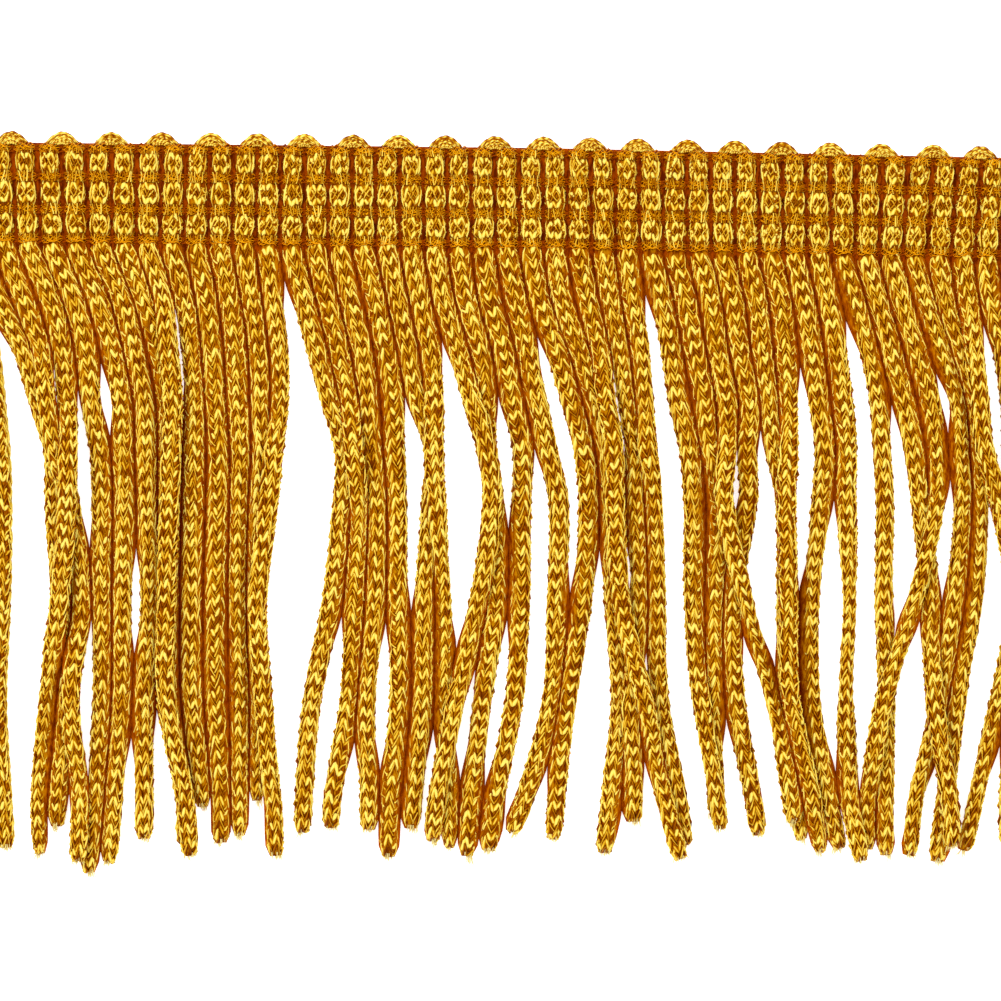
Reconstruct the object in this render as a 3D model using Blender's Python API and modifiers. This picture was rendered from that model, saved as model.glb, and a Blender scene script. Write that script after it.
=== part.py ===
"""Chainette fringe: a looped heading with a row of hanging knitted cords.

The fringe lies face up on a surface. +X runs along the heading, +Y from the cut tips
towards the looped top edge, and +Z is the normal of the face. All sizes are in metres.
"""
import math
from collections import namedtuple

import bmesh
import bpy
from mathutils import Vector

MM = 0.001
TENTH = 0.1 * MM

# Driving dimensions of the heading
CORD_PITCH = 2.576 * MM          # distance between neighbouring cords
BINDING_ROWS = (0.0, 3.22 * MM, 6.72 * MM, 9.78 * MM)  # rows of thread, lowest first
NOTCH_RISE = 0.65 * MM           # edge between two loops, above the top row of thread
LOOP_RISE = 1.45 * MM            # top of a loop above the top row of thread
LOOP_SPAN = 3.76 * MM            # width of a loop at its foot
CORDS_PER_LOOP = 2
BAND_THICKNESS = 1.2 * MM        # heading in the grooves where the threads lie
BEAD_HEIGHT = 1.1 * MM           # bulge of a cord between two rows of thread
CREASE_HEIGHT = 0.25 * MM        # line between two bulges, above the groove
RIM_THICKNESS = 0.9 * MM         # outer edge of the loops
GROOVE_HALF = 0.45 * MM          # half the flat groove under a row of thread
BEAD_SLOPE = 0.6 * MM            # run of the slope from groove to bulge
LOWER_EDGE_SHARE = 0.5           # share of the bulge left at the heading's lower edge
COLUMNS_PER_CORD = 3

# Profile of a loop from its groove to its rim: share of the way, share of the bulge
LOOP_PROFILE = ((0.0, 0.0), (0.45, 1.0), (0.8, 1.0))

# Rows of binding thread
BINDING_WIDTH = 0.5 * MM
BINDING_THICKNESS = 0.45 * MM
BINDING_ROUNDING = 0.1 * MM

# Hanging strands
STRAND_WIDTH = 2.2 * MM
STRAND_SQUEEZED = 1.1 * MM       # narrowest a strand gets between its neighbours
STRAND_THICKNESS = 1.3 * MM
STRAND_TOP_SHARE = 0.7           # width of a strand's upper face, as a share of its width
TIP_NARROWING = 0.9              # width at the cut end, as a share of the strand's width
HANG_START = 1.0 * MM            # lowest row of thread to where depths are counted from
STATION_STEP = 4.5 * MM          # distance between two sections of a strand
SHORTEST_PIECE = 1.1 * MM        # least distance from the last station to the cut end
STEEPEST_RISE = 0.4              # steepest climb of a strand over another

# Strip that the strands are fused into
STRIP_HALF = 0.9 * MM
STRIP_THICKNESS = STRAND_THICKNESS

GAP = 0.3 * MM                   # clearance between pieces that touch

COLOUR_CORD = (0.60, 0.27, 0.02, 1.0)
COLOUR_BINDING = (0.42, 0.17, 0.015, 1.0)
CORD_ROUGHNESS = 0.42
BINDING_ROUGHNESS = 0.7

# Depths at which the sways below are read, in millimetres, for the first strand. The
# levels climb against the heading by LEVEL_CLIMB from each strand to the next.
SWAY_LEVELS = (6.2, 11.6, 17.0, 22.3, 27.7, 38.5, 49.2, 60.0, 65.3)
LEVEL_CLIMB = 0.05

# One row for each strand, from left to right: how far it leans to the right of its root
# at each level, in tenths of a millimetre, its length, in tenths of a millimetre, and the
# order in which it was laid, where a strand with a higher number lies on top.
Strand = namedtuple("Strand", "sways length laid")
STRANDS = (
    Strand((24, 38, 45, 51, 54, 55, 53, 61, 66), 650, 0),
    Strand((22, 49, 66, 83, 85, 94, 103, 94, 93), 626, 0),
    Strand((23, 42, 50, 61, 76, 90, 82, 94, 93), 662, 1),
    Strand((26, 39, 45, 49, 49, 42, 29, 22, 25), 655, 2),
    Strand((25, 39, 45, 55, 58, 61, 63, 58, 54), 674, 0),
    Strand((26, 41, 52, 54, 57, 56, 57, 51, 48), 663, 1),
    Strand((25, 39, 51, 54, 56, 61, 57, 59, 59), 637, 0),
    Strand((24, 40, 50, 53, 53, 54, 57, 77, 78), 643, 0),
    Strand((17, 25, 31, 30, 29, 28, 30, 53, 58), 654, 1),
    Strand((15, 23, 28, 28, 28, 28, 31, 43, 43), 602, 0),
    Strand((12, 19, 23, 28, 29, 28, 31, 38, 39), 640, 1),
    Strand((12, 19, 22, 27, 27, 28, 32, 34, 34), 632, 1),
    Strand((10, 19, 22, 23, 19, 18, 24, 25, 25), 594, 0),
    Strand((6, 13, 15, 11, 7, -3, 5, 16, 20), 653, 2),
    Strand((14, 29, 45, 61, 60, 50, 31, 24, 24), 627, 0),
    Strand((14, 27, 39, 45, 51, 49, 45, 29, 30), 622, 2),
    Strand((12, 26, 33, 38, 45, 45, 37, 43, 43), 623, 1),
    Strand((14, 26, 35, 38, 41, 44, 47, 39, 39), 652, 0),
    Strand((12, 24, 36, 54, 52, 47, 47, 39, 36), 621, 0),
    Strand((10, 22, 27, 28, 32, 42, 45, 51, 53), 640, 1),
    Strand((10, 27, 43, 59, 66, 54, 31, 13, 10), 634, 3),
    Strand((8, 24, 31, 34, 42, 46, 34, 23, 19), 649, 2),
    Strand((8, 24, 34, 46, 46, 47, 42, 24, 18), 643, 0),
    Strand((10, 23, 35, 47, 60, 60, 57, 29, 9), 622, 1),
    Strand((10, 29, 45, 60, 66, 62, 47, 38, 35), 628, 0),
    Strand((8, 28, 46, 60, 65, 70, 79, 70, 65), 643, 0),
    Strand((10, 24, 31, 41, 43, 52, 79, 104, 119), 647, 3),
    Strand((9, 20, 29, 38, 41, 47, 39, 44, 45), 609, 1),
    Strand((6, 15, 20, 26, 32, 38, 44, 66, 75), 633, 2),
    Strand((12, 23, 32, 45, 50, 53, 63, 82, 88), 614, 2),
    Strand((12, 23, 34, 42, 53, 50, 51, 55, 53), 600, 0),
    Strand((13, 22, 33, 33, 31, 57, 88, 110, 114), 605, 3),
    Strand((12, 20, 32, 30, 32, 17, 23, 44, 53), 620, 1),
    Strand((11, 18, 27, 34, 46, 49, 53, 67, 73), 624, 0),
    Strand((11, 18, 21, 22, 21, 25, 30, 55, 64), 637, 4),
    Strand((11, 20, 28, 36, 33, 25, 28, 47, 61), 633, 0),
    Strand((11, 21, 29, 34, 35, 40, 38, 45, 55), 645, 5),
    Strand((14, 29, 41, 46, 50, 51, 56, 56, 57), 639, 0),
    Strand((12, 28, 43, 54, 63, 75, 81, 99, 103), 628, 3),
    Strand((12, 29, 45, 53, 54, 32, 1, -13, -12), 634, 4),
    Strand((12, 31, 50, 54, 57, 49, 36, 12, 8), 639, 1),
    Strand((8, 25, 39, 47, 51, 47, 29, 18, 12), 645, 0),
    Strand((6, 13, 19, 26, 42, 63, 46, 25, 15), 633, 2),
    Strand((5, 19, 28, 32, 35, 40, 40, 34, 35), 628, 0),
    Strand((9, 18, 27, 31, 34, 38, 38, 33, 33), 633, 1),
    Strand((9, 18, 26, 30, 32, 35, 36, 30, 31), 625, 0),
)

CORD_COUNT = len(STRANDS)
HEADING_HALF = CORD_COUNT * CORD_PITCH / 2


def clear_scene():
    for old in list(bpy.data.objects):
        bpy.data.objects.remove(old, do_unlink=True)


def new_collection(name):
    collection = bpy.data.collections.new(name)
    bpy.context.scene.collection.children.link(collection)
    return collection


def yarn_material(name, colour, roughness):
    material = bpy.data.materials.new(name)
    material.use_nodes = True
    shader = material.node_tree.nodes["Principled BSDF"]
    shader.inputs["Base Color"].default_value = colour
    shader.inputs["Roughness"].default_value = roughness
    shader.inputs["Metallic"].default_value = 0.0
    return material


def add_object(name, bm, collection, material, parent):
    """Turn a bmesh into a named object with outward faces."""
    bmesh.ops.recalc_face_normals(bm, faces=bm.faces)
    mesh = bpy.data.meshes.new(name)
    bm.to_mesh(mesh)
    bm.free()
    mesh.materials.append(material)
    thing = bpy.data.objects.new(name, mesh)
    collection.objects.link(thing)
    thing.parent = parent
    return thing


def block(size):
    """A bmesh of a box of the given size around the origin."""
    bm = bmesh.new()
    bmesh.ops.create_cube(bm, size=1.0)
    bmesh.ops.scale(bm, vec=Vector(size), verts=bm.verts)
    return bm


def heading_rows():
    """Rows of points up the heading: y of each row and the share of the bulge there."""
    foot = STRIP_HALF + GAP
    rows = [(foot, LOWER_EDGE_SHARE), (foot + BEAD_SLOPE / 2, 1.0)]
    for lower, upper in zip(BINDING_ROWS, BINDING_ROWS[1:]):
        if lower > 0:
            rows += [(lower + GROOVE_HALF, 0.0), (lower + GROOVE_HALF + BEAD_SLOPE, 1.0)]
        rows += [(upper - GROOVE_HALF - BEAD_SLOPE, 1.0), (upper - GROOVE_HALF, 0.0)]
    return rows


def loop_share(column):
    """How high the looped edge stands at a column, from 0 in a notch to 1 on a loop."""
    columns = CORDS_PER_LOOP * COLUMNS_PER_CORD
    offset = (column % columns - columns / 2) * CORD_PITCH / COLUMNS_PER_CORD
    across = min(abs(offset) / (LOOP_SPAN / 2), 1.0)
    return math.sqrt(1 - across * across)


def bead_lift(column, share):
    """Height of the face at a column where the rows give a share of the bulge."""
    bulge = CREASE_HEIGHT if column % COLUMNS_PER_CORD == 0 else BEAD_HEIGHT
    return BAND_THICKNESS + bulge * share


def heading_point(column, row, rows):
    """Place of a grid point of the heading's face."""
    foot = BINDING_ROWS[-1] + GROOVE_HALF
    edge = BINDING_ROWS[-1] + NOTCH_RISE + (LOOP_RISE - NOTCH_RISE) * loop_share(column)
    if row < len(rows):
        y, share = rows[row]
        z = bead_lift(column, share)
    elif row < len(rows) + len(LOOP_PROFILE):
        along, share = LOOP_PROFILE[row - len(rows)]
        y = foot + (edge - foot) * along
        z = BAND_THICKNESS + BEAD_HEIGHT * share * loop_share(column)
    else:
        y = edge
        z = RIM_THICKNESS
    return Vector((column * CORD_PITCH / COLUMNS_PER_CORD - HEADING_HALF, y, z))


def build_heading(collection, parent):
    """A band, flat below, with three rows of bulges and a looped top edge."""
    rows = heading_rows()
    last_column = CORD_COUNT * COLUMNS_PER_CORD
    last_row = len(rows) + len(LOOP_PROFILE)
    bm = bmesh.new()
    bmesh.ops.create_grid(bm, x_segments=last_column, y_segments=last_row, size=1.0)
    face_quads = list(bm.faces)
    for vertex in bm.verts:
        column = round((vertex.co.x + 1) / 2 * last_column)
        row = round((vertex.co.y + 1) / 2 * last_row)
        vertex.co = heading_point(column, row, rows)
    lower = bmesh.ops.extrude_face_region(bm, geom=face_quads)
    for item in lower["geom"]:
        if isinstance(item, bmesh.types.BMVert):
            item.co.z = 0.0
    flat_faces = [face for face in bm.faces if all(v.co.z == 0.0 for v in face.verts)]
    bmesh.ops.dissolve_faces(bm, faces=flat_faces)
    material = yarn_material("heading_yarn", COLOUR_CORD, CORD_ROUGHNESS)
    add_object("heading", bm, collection, material, parent)


def build_bindings(collection, parent):
    """Four thin rows of thread across the face, each in its groove."""
    for number, y in enumerate(BINDING_ROWS, start=1):
        bm = block((2 * HEADING_HALF, BINDING_WIDTH, BINDING_THICKNESS))
        material = yarn_material(f"binding_thread_{number}", COLOUR_BINDING, BINDING_ROUGHNESS)
        row = add_object(f"binding_{number}", bm, collection, material, parent)
        under = STRIP_THICKNESS if number == 1 else BAND_THICKNESS
        row.location = (0, y, under + GAP + BINDING_THICKNESS / 2)
        edges = row.modifiers.new("rounded", "BEVEL")
        edges.width = BINDING_ROUNDING
        edges.segments = 1


def smooth_value(levels, values, depth):
    """Value at a depth on a smooth curve through the given values."""
    last = len(levels) - 1
    left = max(i for i in range(last) if i == 0 or levels[i] <= depth)
    right = left + 1

    def slope(i):
        before = max(i - 1, 0)
        after = min(i + 1, last)
        return (values[after] - values[before]) / (levels[after] - levels[before])

    span = levels[right] - levels[left]
    t = (depth - levels[left]) / span
    if t > 1:
        return values[right] + slope(right) * (depth - levels[right])
    start = (2 * t**3 - 3 * t**2 + 1) * values[left] + (t**3 - 2 * t**2 + t) * span * slope(left)
    end = (3 * t**2 - 2 * t**3) * values[right] + (t**3 - t**2) * span * slope(right)
    return start + end


def root_of(number):
    """X of a strand's root."""
    return (number + 0.5) * CORD_PITCH - HEADING_HALF


def strand_centres(depths):
    """X of every strand at every station, station by station along each strand."""
    centres = []
    for number, strand in enumerate(STRANDS):
        levels = [0.0] + [(level - LEVEL_CLIMB * number) * MM for level in SWAY_LEVELS]
        sways = [0.0] + [sway * TENTH for sway in strand.sways]
        root = root_of(number)
        centres.append([root + smooth_value(levels, sways, depth) for depth in depths])
    return centres


def passes_over(first, second, k):
    """Whether two strands lie over one another between stations k and k + 1."""
    closest = STRAND_SQUEEZED + GAP
    here = second[k] - first[k]
    below = second[k + 1] - first[k + 1]
    return here * below < 0 or min(abs(here), abs(below)) < closest


def strand_heights(depths, centres):
    """Underside of every strand at every station: on the surface or over others."""
    heights = [None] * CORD_COUNT
    order = sorted(range(CORD_COUNT), key=lambda number: STRANDS[number].laid)
    for position, upper in enumerate(order):
        needed = [0.0] * len(depths)
        for lower in order[:position]:
            for k in range(len(depths) - 1):
                if passes_over(centres[lower], centres[upper], k):
                    for station in (k, k + 1):
                        clear = heights[lower][station] + STRAND_THICKNESS + GAP
                        needed[station] = max(needed[station], clear)
        heights[upper] = [
            max(need - STEEPEST_RISE * abs(depth - other) for need, other in zip(needed, depths))
            for depth in depths
        ]
    return heights


def strand_widths(depths, centres):
    """Width of every strand at every station, squeezed where neighbours crowd it."""
    widths = [[STRAND_WIDTH] * len(depths) for _ in STRANDS]
    for first in range(CORD_COUNT):
        for second in range(first + 1, CORD_COUNT):
            for k in range(len(depths) - 1):
                if passes_over(centres[first], centres[second], k):
                    continue
                for station in (k, k + 1):
                    room = abs(centres[second][station] - centres[first][station]) - GAP
                    widths[first][station] = min(widths[first][station], room)
                    widths[second][station] = min(widths[second][station], room)
    return widths


def between(values, depth):
    """Value at a depth on the straight run between two stations."""
    k = min(int(depth / STATION_STEP), len(values) - 2)
    share = depth / STATION_STEP - k
    return values[k] + (values[k + 1] - values[k]) * share


def loft_strand(bm, sections):
    """A four-sided tube through sections of y, centre, underside and width."""
    corners = ((-1, 0), (1, 0), (STRAND_TOP_SHARE, 1), (-STRAND_TOP_SHARE, 1))
    rings = []
    for y, centre, under, width in sections:
        rings.append([
            bm.verts.new((centre + side * width / 2, y, under + up * STRAND_THICKNESS))
            for side, up in corners
        ])
    for ring, following in zip(rings, rings[1:]):
        for corner in range(len(corners)):
            beside = (corner + 1) % len(corners)
            bm.faces.new((ring[corner], ring[beside], following[beside], following[corner]))
    bm.faces.new(rings[0][::-1])
    bm.faces.new(rings[-1])


def build_strands(collection, cutters, parent):
    """A narrow strip with every strand fused into it at the root."""
    longest = max(strand.length for strand in STRANDS) * TENTH
    depths = [k * STATION_STEP for k in range(math.ceil(longest / STATION_STEP) + 1)]
    centres = strand_centres(depths)
    heights = strand_heights(depths, centres)
    widths = strand_widths(depths, centres)
    bm = bmesh.new()
    for number, strand in enumerate(STRANDS):
        length = strand.length * TENTH
        sections = [(0.0, root_of(number), 0.0, widths[number][0])]
        for depth in [d for d in depths if d < length - SHORTEST_PIECE] + [length]:
            width = between(widths[number], depth)
            if depth == length:
                width *= TIP_NARROWING
            centre = between(centres[number], depth)
            under = between(heights[number], depth)
            sections.append((-HANG_START - depth, centre, under, width))
        loft_strand(bm, sections)
    material = yarn_material("strand_yarn", COLOUR_CORD, CORD_ROUGHNESS)
    tubes = add_object("strand_tubes", bm, cutters, material, parent)
    tubes.hide_render = True
    tubes.display_type = "WIRE"

    strip = block((2 * HEADING_HALF, 2 * STRIP_HALF, STRIP_THICKNESS))
    bmesh.ops.translate(strip, vec=(0, 0, STRIP_THICKNESS / 2), verts=strip.verts)
    fringe = add_object("strands", strip, collection, material, parent)
    fused = fringe.modifiers.new("fused_roots", "BOOLEAN")
    fused.operation = "UNION"
    fused.solver = "EXACT"
    fused.object = tubes


def centre_on_origin(collection, origin):
    """Put the world origin under the middle of everything, on the surface."""
    bpy.context.view_layer.update()
    graph = bpy.context.evaluated_depsgraph_get()
    points = []
    for thing in collection.objects:
        if thing.type == "MESH":
            shape = thing.evaluated_get(graph)
            points += [thing.matrix_world @ vertex.co for vertex in shape.data.vertices]
    for axis in (0, 1):
        values = [point[axis] for point in points]
        origin.location[axis] = -(min(values) + max(values)) / 2
    bpy.context.view_layer.update()


def main():
    clear_scene()
    collection = new_collection("chainette_fringe")
    cutters = new_collection("cutters")
    origin = bpy.data.objects.new("fringe_origin", None)
    collection.objects.link(origin)
    build_heading(collection, origin)
    build_bindings(collection, origin)
    build_strands(collection, cutters, origin)
    centre_on_origin(collection, origin)


main()
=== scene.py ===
"""Looks of a chainette fringe: knitted rayon cords, their loops and the binding threads.

The fringe lies face up on a pale floor. +X runs along the heading, +Y from the cut tips
towards the looped top edge, and +Z is the normal of the face. Sizes are in metres unless a
comment says otherwise, and turns in degrees: 0 is the top of a cord, and 90 its edge.
"""

import math
from collections import namedtuple

import bpy
import numpy as np
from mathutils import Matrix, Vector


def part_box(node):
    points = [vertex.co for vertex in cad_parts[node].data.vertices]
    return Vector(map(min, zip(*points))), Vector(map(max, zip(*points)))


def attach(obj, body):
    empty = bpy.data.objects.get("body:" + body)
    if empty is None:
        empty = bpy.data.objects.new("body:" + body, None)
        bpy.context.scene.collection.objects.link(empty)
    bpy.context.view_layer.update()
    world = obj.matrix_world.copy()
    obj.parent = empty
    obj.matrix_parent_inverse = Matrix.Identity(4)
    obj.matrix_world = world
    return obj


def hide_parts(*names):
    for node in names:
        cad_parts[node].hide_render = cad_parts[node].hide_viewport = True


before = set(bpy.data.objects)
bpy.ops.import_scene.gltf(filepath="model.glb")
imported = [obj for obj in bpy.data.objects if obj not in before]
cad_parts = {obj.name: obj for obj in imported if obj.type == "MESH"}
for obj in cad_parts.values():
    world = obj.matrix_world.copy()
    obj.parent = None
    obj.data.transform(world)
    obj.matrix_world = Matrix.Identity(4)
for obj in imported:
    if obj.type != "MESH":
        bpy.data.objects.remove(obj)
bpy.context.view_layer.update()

MM = 0.001
TENTH = 0.1 * MM
UP = np.array((0.0, 0.0, 1.0))
random = np.random.default_rng(26)

# The middle of the lowest row of thread carries everything else
row_low, row_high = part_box("binding_1")
MIDDLE_X = (row_low.x + row_high.x) / 2
MIDDLE_Y = (row_low.y + row_high.y) / 2

# Heading, the same dimensions as the solids
CORD_PITCH = 2.576 * MM
CORDS_PER_LOOP = 2
BINDING_ROWS = (0.0, 3.22 * MM, 6.72 * MM, 9.78 * MM)
NOTCH_RISE = 0.55 * MM              # edge between two loops, above the top row of thread
HANG_START = 1.0 * MM
HEADING_CENTRE_HEIGHT = 1.05 * MM   # middle of the cords above the floor, in the heading
BEAD_HALF_WIDTHS = (1.16 * MM, 1.16 * MM, 1.02 * MM)
BEAD_HALF_HEIGHT = 1.0 * MM
BEAD_BLUNTNESS = 0.6                # power of the sine that a bead swells by
BEAD_STATIONS = 8
PINCH_HALF_WIDTH = 0.68 * MM
PINCH_HALF_HEIGHT = 0.62 * MM
HEADING_OVERRUN = 0.2 * MM          # the cords go on past the outer rows of thread
HEADING_TWIST = 4                   # most turn from one station to the next

# The heading bows a little, and its cords lean, by place along it
BOW_PLACES = (-53.3 * MM, -24.3 * MM, 4.8 * MM, 54.2 * MM)
BOW = (-0.5 * MM, -0.24 * MM, 0.0, -0.1 * MM)
BOW_FADE = 12 * MM
LEAN_PLACES = np.array((-50.0, -41.0, -35.5, -5.0, 15.0, 36.0, 41.5, 47.0, 52.0)) * MM
LEANS = np.array((-0.6, -0.25, 0.07, -0.3, -0.3, -0.34, 0.2, 0.53, 0.54)) * MM

# Hanging cords
CORD_HALF_WIDTH = 1.13 * MM
CORD_HALF_HEIGHT = 0.85 * MM
LEAST_HEIGHT = 0.3                  # share that doesn't follow the width
SEAM = 0.15 * MM                    # half the dark line between two joined cords, the cores' painted flank shade
SEAM_OVERLAP = 0.06 * MM
CLOSEST = 1.4 * MM                  # nearer than this, one cord lies on the other
TOUCHING_DEPTHS = (0.0, 11 * MM, 20 * MM)
TOUCHING = (3.4 * MM, 3.1 * MM, 2.9 * MM)  # nearer than this, two cords join in a dark line
SLIMMER_FROM = 20 * MM              # depth from which the cords get slimmer
SLIMMEST = 0.9                      # their width at the cut end, as a share
LAYER = 1.55 * MM                   # height that one cord adds to another lying on it
STEEPEST_RISE = 0.4
STATION = 0.75 * MM
SOFTEN_WIDTHS = 2                   # stations to each side that a width is averaged over
SOFTEN_HEIGHTS = 3
TWIST = 1.5                         # most turn for each millimetre of length
WANDER = 12.0                       # turn that the stitches sway to each side
WANDER_LENGTHS = (2.0, 5.0)         # millimetres for each radian of that sway
TIP_LENGTH = 1.5 * MM
TIP_PLACES = np.array((1.0, 0.5, 0.2, 0.0))  # of the last stations, in tip lengths
TIP_ROUNDING = np.array((0.0, 0.25, 0.6, 1.0))
TIP_NARROWING = 0.55

# Stretches where a cord lies on its edge: depths in mm, share of the usual width
EdgeOn = namedtuple("EdgeOn", "cord start end share")
EDGE_ON = (
    EdgeOn(3, 46, 68, 0.72),
    EdgeOn(19, 32, 50, 0.68),
    EdgeOn(29, 51, 60, 0.78),
    EdgeOn(30, 36, 54, 0.7),
    EdgeOn(31, 36, 52, 0.68),
    EdgeOn(35, 31, 50, 0.75),
    EdgeOn(36, 34, 47, 0.62),
    EdgeOn(37, 0, 70, 0.88),
    EdgeOn(39, 20, 44, 0.74),
    EdgeOn(40, 0, 50, 0.88),
    EdgeOn(40, 53, 70, 0.74),
    EdgeOn(41, 26, 44, 0.66),
    EdgeOn(42, 46, 70, 0.76),
)
EDGE_ON_FADE = 3.0

# The inside of a cord, dark partly with painted shade of the recesses
CORE_SIDES = 8
CORE_INSET = 0.14 * MM              # under the crests of the stitches
CORE_SIDE_INSET = 0.08 * MM         # at the sides, where a cord has no neighbour
CORE_SPACING = 1.2 * MM
HEADING_CORE_SPACING = 0.4 * MM

# Stitches lie closer together on the face of a wide cord: the turns that come to stand at
# KNOT_ANGLE on a narrow and on a wide one
NARROW_AND_WIDE = (0.75 * MM, 1.05 * MM)
KNOT_TURNS = (34.0, 58.0)
KNOT_ANGLE = 42
LIFT = 0.5                          # how far the painted highlight of the yarn turns to the face
LIFT_FADE = 3                       # how soon it turns away on the underside

# Courses of stitches along a cord
COURSE_PITCH = 1.58 * MM
COURSE_PITCHES = (0.95, 1.04)       # range, from cord to cord
FIRST_COURSE = 0.75 * MM
FIRST_COURSE_SHIFT = 0.25           # in courses
LAST_COURSE = 0.5 * MM              # from the cut end
STAGGER = 0.3                       # most that every second column is shifted, in courses
CORD_TILT = 0.15                    # most that all courses rise to one side, in courses
COURSE_TILT = 0.1                   # the same for each course by itself

# Stitches: legs of yarn that zigzag round the cord, two for each column of knitting
LEGS_ROUND = (8, 10, 10)            # one of these for each cord
LEG_RADIUS = 1.03 * MM              # times the root of the share of the way round of a leg
LEG_STATIONS = np.array((-0.04, 0.28, 0.72, 1.04))
LEG_SWELL = (0.62, 1.0, 0.95, 0.25)  # from the end where two legs join in an arch
LEG_INSET = 0.8                     # depth of a leg's middle line, in radii
LEG_END_INSET = 0.9                 # further depth of an end that tapers to nothing
LEG_TURN = 4                        # most that a leg is off its place round the cord
LEG_SHIFT = 0.06                    # most that it is off its place along it, in courses
LEG_RISES = (0.85, 1.15)
LEG_RADII = (0.9, 1.15)
LEG_CRESTS = (0.9, 1.0)
ARCH = 0.5                          # how round the arch is, from a point to a half circle
ARCHES_UP = 0.6                     # share of the cords whose arches open towards the tip
FACE_TURN = 98                      # legs nearer the face than this have FACE_SIDES
FACE_SIDES = 4
THIN_SIDES = 3                      # of fine yarns and those behind

# Deeper legs between the courses, on the face, dimmed by painted shade
UNDER_STATIONS = (0, 1, 3)          # the stations of a leg that they keep
UNDER_RADIUS = 0.7                  # as a share of a leg's
UNDER_INSET = 0.08 * MM
UNDER_CREST = 0.82
UNDER_LEAST = 0.3

# How the legs of a cord lie: arches that open towards the tip (1) or the heading (-1), and
# in courses, how far a course hangs at the edges, how far from it its dimmer legs (painted
# shade) are, half the height of a leg and the shift of every second column. Least lifts the
# painted shade on the legs' flanks.
# The arches and shift of a hanging cord are drawn by lot.
Stitching = namedtuple("Stitching", "arches curls under half_rise stagger least")
CORD_STITCHING = Stitching(1, 0.45, 0.5, 0.42, 0.0, 0.12)
BEAD_STITCHING = Stitching((1, -1), (0.45, -0.35), (0.35, -0.45), 0.33, 0.0, 0.2)
BEAD_COURSES = np.array((-0.19, 0.19))  # off the middle of a bead, in its lengths

# Long thin stretches of yarn along both edges of a cord
EDGE_STATIONS = np.array((0.0, 0.3, 0.7, 1.0))
EDGE_SWELL = np.array((0.3, 1.0, 1.0, 0.3))
EDGE_RADIUS = 0.14 * MM
EDGE_HALF_LENGTH = 0.95 * MM
BEAD_EDGE_RADIUS = 0.2 * MM
BEAD_EDGE = 0.4                     # half length on a bead, as a share of its length
EDGE_TURN = 69
EDGE_TURN_RANGE = 7
EDGE_SLANT = 9
EDGE_LENGTHS = (0.75, 1.15)
EDGE_RADII = (0.8, 1.2)

# The two outermost cords show their flanks, which have more yarn
OUTER_TURNS = (84, 96, 108)
OUTER_RADIUS = 1.3 * EDGE_RADIUS

# Yarns of the cords drawn together under the threads
GATHERED_YARNS = 8
GATHER_STATIONS = np.linspace(-1, 1, 4)
GATHER_RADIUS = 0.12 * MM
GATHER_RADII = (0.7, 1.2)
GATHER_HALF_LENGTH = 0.62 * MM
GATHER_INSET = 0.02 * MM
GATHER_TURN = 84                    # of the outermost yarns
GATHER_TURN_RANGE = 6
GATHER_DRIFT = 16
GATHER_CRESTS = (0.74, 0.92)
GATHER_LEAST = 0.1

# Frayed cut ends
TUFT_FIBRES = 34
TUFT_STATIONS = np.linspace(0, 1, 4)
TUFT_TAPER = np.array((1.0, 1.0, 0.8, 0.3))
TUFT_START = 0.45 * MM              # inside the cord
TUFT_INSETS = (0.1, 0.6)            # under its surface, in mm
TUFT_LENGTHS = (0.35, 1.0)          # in mm
TUFT_RADII = (0.02, 0.09)           # in mm
TUFT_SLANT = 0.8                    # how much longer the fibres are on one side of a cord
TUFT_SPREAD = 0.6
TUFT_BEND = 1.5                     # power of the curve that they spread on
TUFT_LOWEST = 0.06 * MM
TUFT_DARKEST = 0.4
TUFT_LEAST = 0.5

# Loops along the top edge, nested bells of yarn on the face, the back and inside
LOOP_SHIFT = 0.15                   # most that a loop is off its place, in mm
LOOP_FOOT = 1.95 * MM               # half the width of the outermost yarn of a loop
LOOP_INNER_FOOT = 0.3               # of the innermost, as a share
LOOP_FOOT_REACH = 0.85              # least reach of a yarn to its side, as a share
LOOP_START = 0.35 * MM              # above the top row of thread
LOOP_HEIGHT = 1.25 * MM
LOOP_INNER_HEIGHT = 0.12            # of the innermost yarn, as a share
LOOP_BLUNTNESS = 1.1
LOOP_LOW = 0.45 * MM                # outermost and innermost yarn above the floor
LOOP_HIGH = 1.4 * MM
LOOP_OUTERMOST = 0.9                # yarns from this share outward lie equally low
LOOP_YARNS = 7
LOOP_STATIONS = 25
LOOP_WAVES = 4.2
LOOP_WAVE_RANGE = (0.8, 1.25)
LOOP_WAVE = 0.05 * MM
LOOP_RADII = (0.15, 0.2)            # in mm
LOOP_END_SWELL = 0.4
LOOP_END_BLUNTNESS = 0.4
LOOP_BRIGHT = 0.89                  # painted highlight on the waves' crests, and how it sways with them
LOOP_BRIGHT_SWAY = 0.16
LOOP_BRIGHT_AHEAD = 0.7
# Least lifts the painted shade on the loop yarns' flanks, less on the inner yarns
LOOP_LEAST = 0.5
LOOP_INNER_LEAST = 0.2              # of the innermost yarn, as a share
LOOP_BACK_RISE = 0.5 * MM
LOOP_BACK_RADIUS = 0.2 * MM
LOOP_BACK_LEAST = 0.3
LOOP_INSIDE_SHARES = np.array((0.35, 0.6))
LOOP_INSIDE_SIDES = 6
LOOP_INSIDE_HEIGHT = 0.75 * MM
LOOP_INSIDE_RADIUS = 0.42 * MM

# Ground: a dark bar under the heading, painted shade that shows between its cords
GROUND_STATIONS = 120
GROUND_FOOT = -1.6 * MM             # from the lowest row of thread
GROUND_LOW = 0.7 * MM
GROUND_HIGH = 0.95 * MM
GROUND_ROUNDING = 0.1 * MM

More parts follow.
